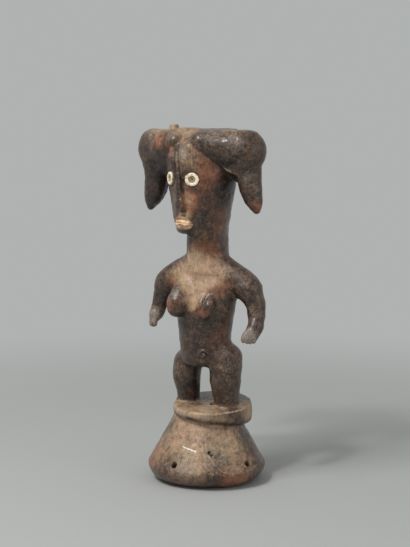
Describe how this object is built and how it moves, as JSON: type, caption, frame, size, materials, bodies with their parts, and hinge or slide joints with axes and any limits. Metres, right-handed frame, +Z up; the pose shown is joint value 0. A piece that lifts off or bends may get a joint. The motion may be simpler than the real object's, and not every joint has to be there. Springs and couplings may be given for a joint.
{
  "type": "igbo shrine figure",
  "caption": "Carved wooden female figure with drooping side rolls of hair and pale ring eyes, on a flared round base that it stands on.",
  "frame": {"origin": "middle of the flat underside of the base", "axes": "+Z up through the head, -Y the way the figure looks, +X towards the figure's left hand"},
  "size_m": [0.1732, 0.14, 0.4409],
  "materials": {
    "aged_wood": "dark hand-rubbed patina, worn pale on the base",
    "pale_inlay": "matt, cream white"
  },
  "bodies": {
    "root": {"figure": "aged_wood", "left_eye_inlay": "pale_inlay", "right_eye_inlay": "pale_inlay"}
  },
  "joints": []
}
